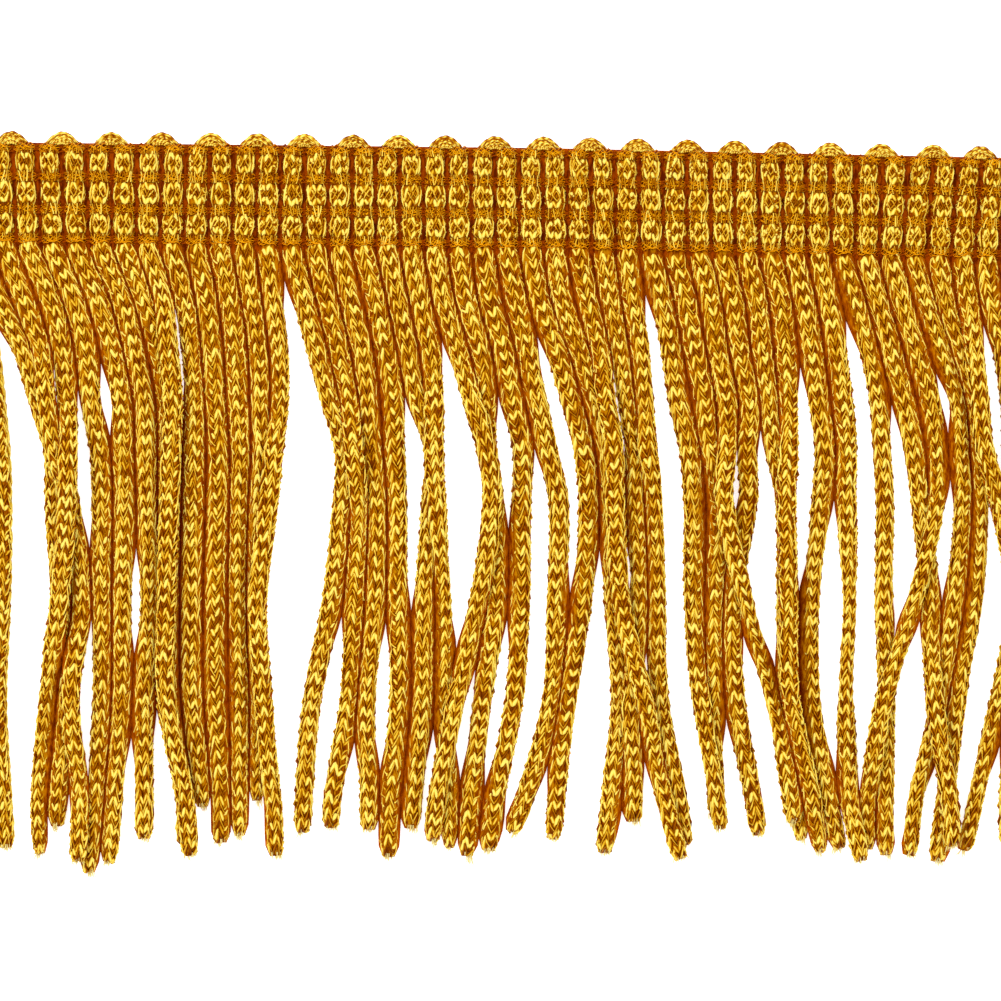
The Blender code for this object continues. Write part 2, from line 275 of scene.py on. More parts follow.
# Binding threads: how many lie on the face (1) and the back (-1), and their points a cord
THREAD_LAYERS = ((1, 6, 12), (-1, 4, 6))
THREAD_RADIUS = 0.085 * MM
THREAD_SPREAD = 0.62 * MM
THREAD_WAVE = 0.13 * MM
THREAD_WAVES = ((2, 2.1), (3, 1.3))  # waves for each cord, and their shift in each thread
THREAD_JITTER = 0.07                # in mm
THREAD_KNOTS = 4                    # places for each cord where the jitter changes
THREAD_LOW = -0.2 * MM              # from the middle of the cords
THREAD_HIGH = 0.7 * MM
THREAD_BLUNTNESS = 0.6
# Painted light of the threads: painted shade where they dip between the cords, brighter over
# them
THREAD_CREST = 0.74                 # painted light between the cords
THREAD_CREST_RISE = 0.3

# Materials: linear colours by painted light or noise
YARN, CORE, TUFT = range(3)         # places in the list of the cords' materials
CORD_STOPS = (
    (0.60, (0.19, 0.036, 0.0)),
    (0.68, (0.33, 0.088, 0.0)),
    (0.75, (0.52, 0.212, 0.001)),
    (0.82, (0.79, 0.485, 0.022)),
    (0.93, (0.92, 0.75, 0.14)),
)
# Painted reddish shade on the flanks of the cores, which shows between joined cords
FLANK_STOPS = (
    (0.35, (0.28, 0.036, 0.0)),
    (0.65, (0.52, 0.105, 0.0)),
)
# The tops of the cores, dark partly with painted shade of the recesses
RECESS_STOPS = (
    (0.40, (0.13, 0.024, 0.0)),
    (0.5, (0.27, 0.082, 0.0)),
    (0.6, (0.43, 0.180, 0.001)),
)
TUFT_STOPS = (
    (0.5, (0.52, 0.25, 0.015)),
    (0.9, (0.94, 0.81, 0.31)),
)
THREAD_STOPS = (
    (0.45, (0.27, 0.040, 0.0)),
    (0.70, (0.66, 0.170, 0.0)),
    (0.93, (0.92, 0.440, 0.004)),
)
# Painted shade of the bar under the heading
GROUND_SHADE_STOPS = (
    (0.38, (0.11, 0.011, 0.0)),
    (0.62, (0.36, 0.056, 0.0)),
)
YARN_GRAIN = (3200.0, 1500.0, 3200.0)  # scales of the noise across and along the cords
RECESS_GRAIN = (3600.0, 1100.0, 3600.0)
GRAIN_DETAIL = 3.0
SHADE_SPAN = 0.22                   # how much shade and grain darken a yarn
FIBRE_STRENGTH = 0.5
FIBRE_DEPTH = 0.03 * MM
YARN_SPECULAR = 0.1
YARN_GLOSS = (1.0, 0.7, 0.02, 1.0)
CORD_ROUGHNESS = 0.4
TUFT_ROUGHNESS = 0.5
THREAD_ROUGHNESS = 0.6
DULL = 0.9                          # roughness of the recesses and the floor

# Studio
WHITE = (1.0, 1.0, 1.0, 1.0)
WORLD_STRENGTH = 1.2
KEY_POWER = 1.8
KEY_SIZE = 0.35
KEY_PLACE = (-0.25, 0.3, 0.6)
FLOOR_SIZE = 3.0
FLOOR_COLOUR = (0.9, 0.9, 0.9, 1.0)
FLOOR_GLOW = 0.7

# Camera
PHOTO_PIXELS = 1001
PIXEL = 0.1075 * MM                 # size of a pixel of the photograph on the cords
PHOTO_ROLL = 0.0192                 # how much the heading falls to the right in it
MIDDLE_IN_PHOTO = (495.7, 243.2)    # pixel of the middle of the lowest row of thread
LENS = 200.0
SENSOR = 36.0
NEAREST = 0.01

# Strands: how far each leans to the right at the levels (mm), in tenths of a millimetre, its
# length in the same, and when it was laid. The levels climb a little from strand to strand.
Strand = namedtuple("Strand", "sways length laid")
SWAY_LEVELS = (6.2, 11.6, 17.0, 22.3, 27.7, 38.5, 49.2, 60.0, 65.3)
LEVEL_CLIMB = 0.05
STRANDS = (
    Strand((24, 38, 45, 51, 54, 55, 53, 61, 66), 650, 0),
    Strand((22, 49, 66, 83, 85, 94, 103, 94, 93), 626, 0),
    Strand((23, 42, 50, 61, 76, 90, 82, 94, 93), 662, 1),
    Strand((26, 39, 45, 49, 49, 42, 29, 22, 25), 655, 2),
    Strand((25, 39, 45, 55, 58, 61, 63, 58, 54), 674, 0),
    Strand((26, 41, 52, 54, 57, 56, 57, 51, 48), 663, 1),
    Strand((25, 39, 51, 54, 56, 61, 57, 59, 59), 637, 0),
    Strand((24, 40, 50, 53, 53, 54, 57, 77, 78), 643, 0),
    Strand((17, 25, 31, 30, 29, 28, 30, 53, 58), 654, 1),
    Strand((15, 23, 28, 28, 28, 28, 31, 43, 43), 602, 0),
    Strand((12, 19, 23, 28, 29, 28, 31, 38, 39), 640, 1),
    Strand((12, 19, 22, 27, 27, 28, 32, 34, 34), 632, 1),
    Strand((10, 19, 22, 23, 19, 18, 24, 25, 25), 594, 0),
    Strand((6, 13, 15, 11, 7, -3, 5, 16, 20), 653, 2),
    Strand((14, 29, 45, 61, 60, 50, 31, 24, 24), 627, 0),
    Strand((14, 27, 39, 45, 51, 49, 45, 29, 30), 622, 2),
    Strand((12, 26, 33, 38, 45, 45, 37, 43, 43), 623, 1),
    Strand((14, 26, 35, 38, 41, 44, 47, 39, 39), 652, 0),
    Strand((12, 24, 36, 54, 52, 47, 47, 39, 36), 621, 0),
    Strand((10, 22, 27, 28, 32, 42, 45, 51, 53), 640, 1),
    Strand((10, 27, 43, 59, 66, 54, 31, 13, 10), 634, 3),
    Strand((8, 24, 31, 34, 42, 46, 34, 23, 19), 649, 2),
    Strand((8, 24, 34, 46, 46, 47, 42, 24, 18), 643, 0),
    Strand((10, 23, 35, 47, 60, 60, 57, 29, 9), 622, 1),
    Strand((10, 29, 45, 60, 66, 62, 47, 38, 35), 628, 0),
    Strand((8, 28, 46, 60, 65, 70, 79, 70, 65), 643, 0),
    Strand((10, 24, 31, 41, 43, 52, 79, 104, 119), 647, 3),
    Strand((9, 20, 29, 38, 41, 47, 39, 44, 45), 609, 1),
    Strand((6, 15, 20, 26, 32, 38, 44, 66, 75), 633, 2),
    Strand((12, 23, 32, 45, 50, 53, 63, 82, 88), 614, 2),
    Strand((12, 23, 34, 42, 53, 50, 51, 55, 53), 600, 0),
    Strand((13, 22, 33, 33, 31, 57, 88, 110, 114), 605, 3),
    Strand((12, 20, 32, 30, 32, 17, 23, 44, 53), 620, 1),
    Strand((11, 18, 27, 34, 46, 49, 53, 67, 73), 624, 0),
    Strand((11, 18, 21, 22, 21, 25, 30, 55, 64), 637, 4),
    Strand((11, 20, 28, 36, 33, 25, 28, 47, 61), 633, 0),
    Strand((11, 21, 29, 34, 35, 40, 38, 45, 55), 645, 5),
    Strand((14, 29, 41, 46, 50, 51, 56, 56, 57), 639, 0),
    Strand((12, 28, 43, 54, 63, 75, 81, 99, 103), 628, 3),
    Strand((12, 29, 45, 53, 54, 32, 1, -13, -12), 634, 4),
    Strand((12, 31, 50, 54, 57, 49, 36, 12, 8), 639, 1),
    Strand((8, 25, 39, 47, 51, 47, 29, 18, 12), 645, 0),
    Strand((6, 13, 19, 26, 42, 63, 46, 25, 15), 633, 2),
    Strand((5, 19, 28, 32, 35, 40, 40, 34, 35), 628, 0),
    Strand((9, 18, 27, 31, 34, 38, 38, 33, 33), 633, 1),
    Strand((9, 18, 26, 30, 32, 35, 36, 30, 31), 625, 0),
)
CORD_COUNT = len(STRANDS)
HEADING_HALF = CORD_COUNT * CORD_PITCH / 2
OUTER_CORDS = (0, CORD_COUNT - 1)
BUNDLES = 5                         # pieces that the strands are split into

# A cord: distance along it, points of its middle line, half sizes and turn of the stitches
Cord = namedtuple("Cord", "along points half_width half_height turn")


def root_of(number):
    """X of a cord at the lowest row of thread, from the middle of the heading."""
    return (number + 0.5) * CORD_PITCH - HEADING_HALF


def bow_at(x):
    """How far the heading bows up or down at a place along it."""
    return np.interp(x, BOW_PLACES, BOW)


def lean_at(x):
    """How far the top of the heading stands to the right of its foot."""
    return np.interp(x, LEAN_PLACES, LEANS)


def at_least(least, share):
    """A share from 0 to 1, squeezed into the range from a least value to 1."""
    return least + (1 - least) * share


def swing(most, size=None):
    """Random values to both sides of zero."""
    return random.uniform(-most, most, size)


def new_shades(count):
    """One random shade for each of some yarns."""
    return random.uniform(0, 1, (count, 1, 1))


def smooth_values(levels, values, depths):
    """Values at many depths on a smooth curve through the given values."""
    levels, values = np.array(levels), np.array(values)
    before = np.maximum(np.arange(len(levels)) - 1, 0)
    after = np.minimum(np.arange(len(levels)) + 1, len(levels) - 1)
    slopes = (values[after] - values[before]) / (levels[after] - levels[before])
    left = np.clip(np.searchsorted(levels, depths, side="right") - 1, 0, len(levels) - 2)
    span = levels[left + 1] - levels[left]
    t = (depths - levels[left]) / span
    curve = (
        (2 * t**3 - 3 * t**2 + 1) * values[left]
        + (t**3 - 2 * t**2 + t) * span * slopes[left]
        + (3 * t**2 - 2 * t**3) * values[left + 1]
        + (t**3 - t**2) * span * slopes[left + 1]
    )
    beyond = values[-1] + slopes[-1] * (depths - levels[-1])
    return np.where(depths > levels[-1], beyond, curve)


def softened(values, reach):
    """Values averaged with their neighbours along the last axis."""
    padded = np.pad(values, ((0, 0), (reach, reach)), mode="edge")
    return np.mean([padded[:, k:k + values.shape[1]] for k in range(2 * reach + 1)], axis=0)


def laid_heights(depths, centres):
    """Undersides of the hanging cords, each lying on those laid before it."""
    heights = np.zeros_like(centres)
    order = sorted(range(CORD_COUNT), key=lambda number: STRANDS[number].laid)
    away = np.abs(depths[:, None] - depths)
    for position, upper in enumerate(order):
        needed = np.zeros(len(depths))
        for lower in order[:position]:
            over = np.abs(centres[upper] - centres[lower]) < CLOSEST
            needed = np.where(over, np.maximum(needed, heights[lower] + LAYER), needed)
        heights[upper] = np.max(needed - STEEPEST_RISE * away, axis=1).clip(0)
    return heights


def side_reaches(depths, centres, heights):
    """How far the stitches of each cord, and its core, reach to the left and right."""
    nearest = np.full((2, *centres.shape), 2 * TOUCHING[0])
    for first in range(CORD_COUNT):
        for second in range(CORD_COUNT):
            apart = centres[second] - centres[first]
            level = np.abs(heights[second] - heights[first]) < LAYER / 2
            for side, distance in enumerate((-apart, apart)):
                beside = level & (distance >= CLOSEST)
                closer = np.minimum(nearest[side, first], distance)
                nearest[side, first] = np.where(beside, closer, nearest[side, first])
    free = CORD_HALF_WIDTH * width_shares(depths)
    touches = nearest < np.interp(depths, TOUCHING_DEPTHS, TOUCHING)
    knitted = np.where(touches, np.minimum(nearest / 2 - SEAM, free), free)
    # Where two cords join, their cores reach into the gap and show their painted flank shade
    return knitted, np.where(touches, nearest / 2 + SEAM_OVERLAP, free - CORE_SIDE_INSET)


def width_shares(depths):
    """Width of each cord along its length, as a share of the usual width."""
    slimmer = np.interp(depths, (SLIMMER_FROM, depths[-1]), (1.0, SLIMMEST))
    shares = np.tile(slimmer, (CORD_COUNT, 1))
    for row in EDGE_ON:
        ends = (row.start - EDGE_ON_FADE, row.start, row.end, row.end + EDGE_ON_FADE)
        share = np.interp(depths / MM, ends, (1.0, row.share, row.share, 1.0))
        shares[row.cord] = np.minimum(shares[row.cord], share)
    return shares


def laid_cords():
    """Depths, undersides and half heights of the hanging cords, then middles and half widths
    of the knitting and of the cores."""
    longest = max(strand.length for strand in STRANDS) * TENTH
    depths = np.arange(0.0, longest + STATION, STATION)
    centres = np.array([
        root_of(number) + smooth_values(
            [0.0] + [(level - LEVEL_CLIMB * number) * MM for level in SWAY_LEVELS],
            [0.0] + [sway * TENTH for sway in strand.sways],
            depths,
        )
        for number, strand in enumerate(STRANDS)
    ])
    heights = laid_heights(depths, centres)
    laid = []
    for reach in side_reaches(depths, centres, heights):
        left, right = [softened(one_side, SOFTEN_WIDTHS) for one_side in reach]
        laid.append((centres + (right - left) / 2, (left + right) / 2))
    widths = laid[0][1]
    shares = widths / widths.max(axis=1, keepdims=True)
    half_heights = CORD_HALF_HEIGHT * at_least(LEAST_HEIGHT, shares)
    return depths, softened(heights, SOFTEN_HEIGHTS), half_heights, *laid


def make_cord(points, half_width, half_height, turn):
    """A cord from its points, with the distance along it."""
    steps = np.linalg.norm(np.diff(points, axis=0), axis=1)
    along = np.append(0.0, np.cumsum(steps))
    return Cord(along, points, half_width, half_height, turn)


def hanging_cord(number, depths, heights, half_heights, centres, half_widths):
    """The cord of one strand, from the lowest row of thread to its cut end."""
    near_end = STRANDS[number].length * TENTH - TIP_LENGTH * TIP_PLACES
    depth = np.append(depths[depths < near_end[0] - STATION / 4], near_end)
    x, rise, half_width, half_height = [
        np.interp(depth, depths, values[number])
        for values in (centres, heights, half_widths, half_heights)
    ]
    for half_size in (half_width, half_height):
        half_size[-len(near_end):] *= 1 - (1 - TIP_NARROWING) * TIP_ROUNDING
    depth = np.append(-HANG_START, depth)
    x = np.append(root_of(number), x)
    half_width = np.append(PINCH_HALF_WIDTH, half_width)
    half_height = np.append(PINCH_HALF_HEIGHT, half_height)
    z = half_height + np.append(HEADING_CENTRE_HEIGHT - PINCH_HALF_HEIGHT, rise)
    bow = bow_at(root_of(number)) * np.exp(-(depth + HANG_START) / BOW_FADE)
    points = np.stack([MIDDLE_X + x, MIDDLE_Y - HANG_START - depth + bow, z], axis=1)
    wander = WANDER * np.sin(depth / random.uniform(*WANDER_LENGTHS) / MM)
    turn = random.uniform(0, 360) + swing(TWIST) * depth / MM + wander
    return make_cord(points, half_width, half_height, turn)


def heading_cord(number):
    """One upright run of the cord in the heading, with its beads between the threads."""
    shares = np.linspace(0, 1, BEAD_STATIONS + 1)[:-1]
    swell = np.sin(math.pi * shares) ** BEAD_BLUNTNESS
    y = [-HEADING_OVERRUN]
    half_width = [PINCH_HALF_WIDTH]
    half_height = [PINCH_HALF_HEIGHT]
    for lower, upper, widest in zip(BINDING_ROWS, BINDING_ROWS[1:], BEAD_HALF_WIDTHS):
        y += list(lower + (upper - lower) * shares)
        half_width += list(PINCH_HALF_WIDTH + (widest - PINCH_HALF_WIDTH) * swell)
        half_height += list(PINCH_HALF_HEIGHT + (BEAD_HALF_HEIGHT - PINCH_HALF_HEIGHT) * swell)
    y = np.array(y + [BINDING_ROWS[-1], BINDING_ROWS[-1] + HEADING_OVERRUN])
    half_width = np.array(half_width + [PINCH_HALF_WIDTH] * 2)
    half_height = np.array(half_height + [PINCH_HALF_HEIGHT] * 2)
    root = root_of(number)
    x = root + lean_at(root) * y / BINDING_ROWS[-1]
    z = np.full(len(y), HEADING_CENTRE_HEIGHT)
    points = np.stack([MIDDLE_X + x, MIDDLE_Y + y + bow_at(root), z], axis=1)
    turn = random.uniform(0, 360) + np.cumsum(swing(HEADING_TWIST, len(y)))
    return make_cord(points[::-1], half_width[::-1], half_height[::-1], turn)


def at(cord, along):
    """Middle, sideways direction and half sizes of a cord at distances along it."""
    tangents = np.gradient(cord.points[:, :2], cord.along, axis=0)
    centre, tangent = [
        np.stack([np.interp(along, cord.along, column) for column in rows.T], axis=-1)
        for rows in (cord.points, tangents)
    ]
    tangent /= np.linalg.norm(tangent, axis=-1, keepdims=True)
    side = np.stack([-tangent[..., 1], tangent[..., 0], np.zeros(along.shape)], axis=-1)
    half_width = np.interp(along, cord.along, cord.half_width)
    half_height = np.interp(along, cord.along, cord.half_height)
    return centre, side, half_width, half_height


def section_angle(turn, half_width):
    """Angle round a cord, with the stitches closer together on the face of a wide one."""
    wrapped = (turn + 180) % 360 - 180
    size = np.abs(wrapped)
    knot = np.interp(half_width, NARROW_AND_WIDE, KNOT_TURNS)
    side = (size - knot) / (180 - 2 * knot)
    on_side = KNOT_ANGLE + (180 - 2 * KNOT_ANGLE) * side
    bent = np.where(size < knot, KNOT_ANGLE * size / knot, on_side)
    bent = np.where(size > 180 - knot, 180 - KNOT_ANGLE * (180 - size) / knot, bent)
    return np.radians(np.sign(wrapped) * bent)


def on_cord(cord, along, turn, inset):
    """Points on a cord's surface and the way that the yarn's painted highlight faces there."""
    centre, side, half_width, half_height = at(cord, along)
    angle = section_angle(turn, half_width)
    across = np.sin(angle)
    above = np.cos(angle)
    points = (
        centre
        + side * ((half_width - inset) * across)[..., None]
        + UP * ((half_height - inset) * above)[..., None]
    )
    normals = side * (across / half_width)[..., None] + UP * (above / half_height)[..., None]
    normals /= np.linalg.norm(normals, axis=-1, keepdims=True)
    normals += UP * (LIFT * np.clip(1 + LIFT_FADE * above, -1, 1))[..., None]
    return points, normals / np.linalg.norm(normals, axis=-1, keepdims=True)


def tubes(points, normals, radii, sides, least):
    """Rings of points round many yarns, and how much each point faces outward."""
    direction = np.gradient(points, axis=1)
    direction /= np.linalg.norm(direction, axis=-1, keepdims=True)
    beside = np.cross(direction, normals)
    beside /= np.linalg.norm(beside, axis=-1, keepdims=True)
    outward = np.cross(beside, direction)
    angles = math.pi / 2 + math.tau * np.arange(sides)[:, None] / sides
    radii = np.broadcast_to(radii, points.shape[:2])[..., None, None]
    rings = points[:, :, None] + radii * (
        np.cos(angles) * beside[:, :, None] + np.sin(angles) * outward[:, :, None]
    )
    # This share becomes painted light: a painted highlight on top, painted shade on the flanks
    facing = at_least(least, 0.5 + 0.5 * np.sin(angles[:, 0]))
    return rings, np.broadcast_to(facing, rings.shape[:3])


def closed(rings):
    """One tube of the given rings, drawn together to a point at both ends."""
    ends = np.broadcast_to(rings[[0, -1]].mean(axis=1, keepdims=True), (2, *rings.shape[1:]))
    return np.concatenate([ends[:1], rings, ends[1:]])[None]


class Yarns:
    """Gathers tubes of yarn, then makes one object of them."""

    def __init__(self):
        self.points = []
        self.quads = []
        self.painted_light = []
        self.shade = []
        self.kinds = []
        self.count = 0

    def add(self, rings, painted_light, shade, kind):
        """Add tubes given as an array of tube, ring, side and coordinate."""
        tube_count, ring_count, sides = rings.shape[:3]
        first = np.arange(tube_count)[:, None, None] * ring_count * sides
        ring = np.arange(ring_count - 1)[:, None] * sides
        side = np.arange(sides)
        here = self.count + first + ring + side
        beside = self.count + first + ring + (side + 1) % sides
        quads = np.stack([here, beside, beside + sides, here + sides], axis=-1)
        self.quads.append(quads.reshape(-1, 4))
        self.points.append(rings.reshape(-1, 3))
        self.painted_light.append(np.broadcast_to(painted_light, rings.shape[:3]).reshape(-1))
        self.shade.append(np.broadcast_to(shade, rings.shape[:3]).reshape(-1))
        self.kinds.append(np.full(quads.size // 4, kind))
        self.count += tube_count * ring_count * sides

    def add_lines(self, points, normals, radii, sides, painted_light, shade, kind=YARN, least=0.0):
        """Add tubes round lines, with painted light; least lifts their flanks' painted shade."""
        rings, facing = tubes(points, normals, radii, sides, least)
        self.add(rings, facing * painted_light, shade, kind)

    def make(self, name, materials, slot, *nodes):
        """One object of all the tubes, which rides on the body in the place of CAD nodes."""
        mesh = bpy.data.meshes.new(name)
        points = np.concatenate(self.points)
        quads = np.concatenate(self.quads)
        mesh.vertices.add(len(points))
        mesh.vertices.foreach_set("co", points.astype(np.float32).ravel())
        mesh.loops.add(quads.size)
        mesh.loops.foreach_set("vertex_index", quads.astype(np.int32).ravel())
        mesh.polygons.add(len(quads))
        mesh.polygons.foreach_set("loop_start", np.arange(len(quads), dtype=np.int32) * 4)
        mesh.polygons.foreach_set("use_smooth", np.ones(len(quads), dtype=bool))
        for material in materials:
            mesh.materials.append(material)
        mesh.polygons.foreach_set("material_index", np.concatenate(self.kinds).astype(np.int32))
        mesh.update(calc_edges=True)
        # Painted light and a random shade for each point, read by the materials
        for title, values in (("painted_light", self.painted_light), ("shade", self.shade)):
            layer = mesh.attributes.new(title, "FLOAT", "POINT")
            layer.data.foreach_set("value", np.concatenate(values).astype(np.float32))
        piece = bpy.data.objects.new(name, mesh)
        bpy.context.scene.collection.objects.link(piece)
        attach(piece, "root")
        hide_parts(*nodes)


def add_core(yarns, cord, spacing):
    """The inside of a cord that shows between its stitches, dark partly with painted shade."""
    along = np.linspace(0, cord.along[-1], int(cord.along[-1] / spacing))
    turns = np.arange(CORE_SIDES) * 360 / CORE_SIDES
    grid_along, grid_turn = np.meshgrid(along, turns, indexing="ij")
    above = np.abs(np.cos(np.radians(grid_turn)))
    points, _ = on_cord(cord, grid_along, grid_turn, CORE_INSET * above)
    # The core's top takes the recess colours, its flanks the painted reddish shade
    painted_light = np.pad(above, ((1, 1), (0, 0)), mode="edge")
    yarns.add(closed(points), painted_light, random.uniform(), CORE)


def add_stitches(yarns, cord, courses, stitching):
    """Zigzag legs of yarn round a cord at each course, joined in arches."""
    around = random.choice(LEGS_ROUND)
    count = len(courses)
    legs = count * around
    shape = (count, around)
    arches, curls, under = [
        np.broadcast_to(values, count)[:, None, None]
        for values in (stitching.arches, stitching.curls, stitching.under)
    ]
    leg = np.arange(around)[None, :]
    step = 360 / around
    turn = np.interp(courses, cord.along, cord.turn)[:, None]
    start = turn + leg * step + swing(LEG_TURN, shape)
    half_rise = stitching.half_rise * COURSE_PITCH * random.uniform(*LEG_RISES, shape)
    radius = LEG_RADIUS * math.sqrt(step / 360) * random.uniform(*LEG_RADII, shape)
    shade = new_shades(legs)

    # Every second leg runs from its arch, the others towards it
    from_arch = (leg % 2 == 0)[..., None]
    swell = np.where(from_arch, LEG_SWELL, LEG_SWELL[::-1])
    swell = np.broadcast_to(swell, (*shape, len(LEG_STATIONS)))
    away = np.where(from_arch, LEG_STATIONS, 1 - LEG_STATIONS)
    climb = ARCH * (1 - 2 * np.cos(math.pi / 2 * away)) + (1 - ARCH) * (2 * away - 1)

    turns = start[..., None] + step * LEG_STATIONS
    sideways = np.sin(np.radians(turns))
    column = np.where(leg // 2 % 2 == 0, stitching.stagger, 0.0)[..., None]
    tilt = swing(CORD_TILT) + swing(COURSE_TILT, (count, 1, 1))
    shift = swing(LEG_SHIFT, shape)[..., None]
    shift = shift + curls * sideways**4 + column + tilt * sideways
    along = courses[:, None, None] + shift * COURSE_PITCH + arches * half_rise[..., None] * climb
    along = np.clip(along, 0.0, cord.along[-1])
    inset = radius[..., None] * (LEG_INSET + LEG_END_INSET * (1 - swell))
    points, normals = on_cord(cord, along, turns, inset)

    points = points.reshape(legs, -1, 3)
    normals = normals.reshape(legs, -1, 3)
    radii = (radius[..., None] * swell).reshape(legs, -1)
    # Painted shade towards the thin ends of each leg, times a random tone
    painted_light = at_least(0.5, swell).reshape(legs, -1, 1) * random.uniform(*LEG_CRESTS, (legs, 1, 1))
    middle = (start + step / 2 + 180) % 360 - 180
    on_face = (np.abs(middle) < FACE_TURN).reshape(-1)
    for chosen, sides in ((on_face, FACE_SIDES), (~on_face, THIN_SIDES)):
        yarns.add_lines(
            points[chosen], normals[chosen], radii[chosen], sides, painted_light[chosen], shade[chosen],
            least=stitching.least,
        )

    between = np.clip(along + under * COURSE_PITCH, 0.0, cord.along[-1])[..., UNDER_STATIONS]
    points, normals = on_cord(cord, between, turns[..., UNDER_STATIONS], UNDER_INSET)
    points = points.reshape(legs, -1, 3)[on_face]
    normals = normals.reshape(legs, -1, 3)[on_face]
    radii = UNDER_RADIUS * radii[on_face][:, UNDER_STATIONS]
    shade = new_shades(len(points))
    yarns.add_lines(points, normals, radii, THIN_SIDES, UNDER_CREST, shade, least=UNDER_LEAST)


def add_edges(yarns, cord, middles, half_length, radius, edge_turn=EDGE_TURN):
    """Long thin stretches of yarn along both edges of a cord."""
    count = len(middles)
    ahead = 2 * EDGE_STATIONS - 1
    for side in (-1, 1):
        slant = EDGE_SLANT * random.choice((-1.0, 1.0), count)
        middle = edge_turn + swing(EDGE_TURN_RANGE, count)
        turns = side * (middle[:, None] + slant[:, None] * ahead)
        half = half_length * random.uniform(*EDGE_LENGTHS, count)
        along = np.clip(middles[:, None] + half[:, None] * ahead, 0.0, cord.along[-1])
        points, normals = on_cord(cord, along, turns, radius / 2)
        radii = radius * random.uniform(*EDGE_RADII, count)[:, None] * EDGE_SWELL
        yarns.add_lines(points, normals, radii, FACE_SIDES, 1.0, new_shades(count))


def add_outer_edges(yarns, cord, number, courses, half_length, radius):
    """More yarn on the flanks, where this is one of the two outermost cords."""
    if number in OUTER_CORDS:
        for edge_turn in OUTER_TURNS:
            add_edges(yarns, cord, courses, half_length, radius, edge_turn)


def add_gathers(yarns, cord, middles):
    """Fine yarns of a cord drawn together under a row of binding thread."""
    count = GATHERED_YARNS
    for middle in middles:
        turns = np.linspace(-GATHER_TURN, GATHER_TURN, count) + swing(GATHER_TURN_RANGE, count)
        drift = swing(GATHER_DRIFT, count)
        turns = turns[:, None] + drift[:, None] * GATHER_STATIONS
        along = middle + GATHER_HALF_LENGTH * GATHER_STATIONS
        along = np.clip(along, 0.0, cord.along[-1])
        points, normals = on_cord(cord, along, turns, GATHER_INSET)
        radii = GATHER_RADIUS * random.uniform(*GATHER_RADII, (count, 1))
        shade = new_shades(count)
        painted_light = random.uniform(*GATHER_CRESTS, (count, 1, 1))
        yarns.add_lines(points, normals, radii, FACE_SIDES, painted_light, shade, least=GATHER_LEAST)


def add_tuft(yarns, cord):
    """The frayed cut end of a cord."""
    count = TUFT_FIBRES
    turns = swing(180, count)
    along = np.full(count, cord.along[-1] - TUFT_START)
    start, normals = on_cord(cord, along, turns, random.uniform(*TUFT_INSETS, count) * MM)
    tangent = cord.points[-1] - cord.points[-3]
    tangent /= np.linalg.norm(tangent)
    cut = 1 + swing(TUFT_SLANT) * np.sin(np.radians(turns))
    length = (random.uniform(*TUFT_LENGTHS, count) * cut * MM)[:, None, None]
    spread = swing(TUFT_SPREAD, count)[:, None, None]
    stations = TUFT_STATIONS[:, None]
    bend = spread * stations**TUFT_BEND * length * normals[:, None, :]
    points = start[:, None, :] + tangent * stations * length + bend
    points[..., 2] = np.maximum(points[..., 2], TUFT_LOWEST)
    radii = random.uniform(*TUFT_RADII, count)[:, None] * MM * TUFT_TAPER
    shade = random.uniform(TUFT_DARKEST, 1, (count, 1, 1))
    yarns.add_lines(points, UP, radii, THIN_SIDES, 1.0, shade, TUFT, TUFT_LEAST)


def build_cords(materials):
    """The hanging strands, in a few pieces from left to right."""
    depths, heights, half_heights, knitted, cores = laid_cords()
    for bundle in range(BUNDLES):
        yarns = Yarns()
        first = CORD_COUNT * bundle // BUNDLES
        last = CORD_COUNT * (bundle + 1) // BUNDLES
        for number in range(first, last):
            core = hanging_cord(number, depths, heights, half_heights, *cores)
            add_core(yarns, core, CORE_SPACING)
            cord = hanging_cord(number, depths, heights, half_heights, *knitted)
            pitch = COURSE_PITCH * random.uniform(*COURSE_PITCHES)
            shift = swing(FIRST_COURSE_SHIFT) * pitch
            courses = np.arange(FIRST_COURSE + shift, cord.along[-1] - LAST_COURSE, pitch)
            stagger = swing(STAGGER)
            arches = 1 if random.uniform() < ARCHES_UP else -1
            stitching = CORD_STITCHING._replace(arches=arches, stagger=stagger)
            add_stitches(yarns, cord, courses, stitching)
            add_edges(yarns, cord, courses + pitch / 2, EDGE_HALF_LENGTH, EDGE_RADIUS)
            add_outer_edges(yarns, cord, number, courses, EDGE_HALF_LENGTH, OUTER_RADIUS)
            add_tuft(yarns, cord)
        yarns.make(f"strand_cords_{bundle + 1}", materials, "cord", "strands")


def build_heading(materials):
    """The upright runs of the cords, each with three beads between four gathered places."""
    yarns = Yarns()
    for number in range(CORD_COUNT):
        cord = heading_cord(number)
        add_core(yarns, cord, HEADING_CORE_SPACING)
        top = cord.along[-1] - HEADING_OVERRUN
        for lower, upper in zip(BINDING_ROWS, BINDING_ROWS[1:]):
            length = upper - lower
            middle = top - (lower + upper) / 2
            half_length = BEAD_EDGE * length
            courses = middle + BEAD_COURSES * length
            add_stitches(yarns, cord, courses, BEAD_STITCHING)
            add_edges(yarns, cord, np.array([middle]), half_length, BEAD_EDGE_RADIUS)
            add_outer_edges(yarns, cord, number, courses, half_length / 2, BEAD_EDGE_RADIUS)
        add_gathers(yarns, cord, [top - row for row in BINDING_ROWS])
    yarns.make("heading_cords", materials, "cord", "heading")


